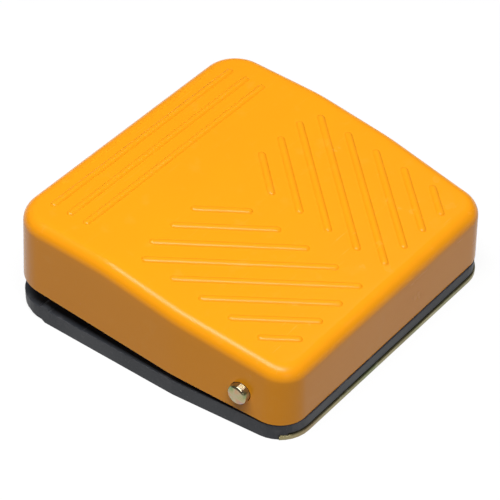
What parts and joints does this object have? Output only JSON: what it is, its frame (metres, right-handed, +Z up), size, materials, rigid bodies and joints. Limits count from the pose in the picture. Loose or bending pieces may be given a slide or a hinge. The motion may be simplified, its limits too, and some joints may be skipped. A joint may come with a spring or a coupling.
{
  "type": "foot switch",
  "caption": "Low wedge-shaped foot switch: ribbed amber pedal cover hinged on a steel pin over a dark grey tray with a zinc-plated base plate.",
  "frame": {"origin": "centre of the underside, on the floor the switch stands on", "axes": "+Z up; +Y from the heel, where the hinge is, to the toe; +X along the hinge pin"},
  "size_m": [0.084, 0.0822, 0.0292],
  "materials": {
    "amber_plastic": "glossy amber-orange moulding",
    "grey_plastic": "satin dark grey moulding",
    "zinc_plate": "yellow zinc-plated steel",
    "spring_steel": "bright drawn spring steel",
    "bright_steel": "bright turned and pressed steel",
    "black_plastic": "black moulded switch case",
    "maroon_plastic": "dark red moulded lid",
    "red_plastic": "red moulded plunger",
    "brass": "stamped brass",
    "black_rubber": "black moulded rubber"
  },
  "bodies": {
    "base": {"base_tray": "grey_plastic", "base_plate": "zinc_plate", "hinge_pin": "zinc_plate", "pin_clips": "spring_steel", "thrust_washers": "bright_steel", "return_spring_left": "spring_steel", "return_spring_right": "spring_steel", "switch_case": "black_plastic", "switch_lid": "maroon_plastic", "common_terminal": "brass", "open_terminal": "brass", "closed_terminal": "brass", "lever_pin": "bright_steel", "switch_screws": "bright_steel", "switch_nuts": "bright_steel", "switch_bracket": "zinc_plate", "bracket_screws": "bright_steel", "cable_grommet": "black_rubber", "cable_clamp": "zinc_plate", "clamp_screws": "bright_steel", "earth_tab": "brass", "earth_screw": "bright_steel", "plate_screws": "bright_steel"},
    "pedal": {"pedal_cover": "amber_plastic", "adjusting_screw": "bright_steel", "adjusting_nut": "bright_steel"},
    "lever": {"switch_lever": "bright_steel"},
    "plunger": {"switch_plunger": "red_plastic"},
    "blade": {"contact_blade": "brass"}
  },
  "joints": [
    {"name": "pedal_hinge", "type": "hinge", "parent": "base", "child": "pedal", "pos_m": [0, -0.0283, 0.0109], "axis": [-1, 0, 0], "range_deg": [0, 3.9], "stiffness_Nm_per_rad": 3.7, "springref_deg": -7.79, "deforming": ["return_spring_left", "return_spring_right"]},
    {"name": "lever_hinge", "type": "hinge", "parent": "base", "child": "lever", "pos_m": [0, -0.012, 0.0187], "axis": [-1, 0, 0], "range_deg": [0, 7.7]},
    {"name": "plunger_slide", "type": "slide", "parent": "base", "child": "plunger", "axis": [0, 0, -1], "range_m": [0, 0.00076]},
    {"name": "blade_rock", "type": "hinge", "parent": "base", "child": "blade", "pos_m": [0, -0.0098, 0.01305], "axis": [-1, 0, 0], "range_deg": [0, 2.3]}
  ],
  "couplings": [
    {"joint": "lever_hinge", "follows": "pedal_hinge", "ratio": 1.9588},
    {"joint": "plunger_slide", "follows": "pedal_hinge", "m_per_rad": 0.011018},
    {"joint": "blade_rock", "follows": "pedal_hinge", "ratio": 0.5732}
  ]
}
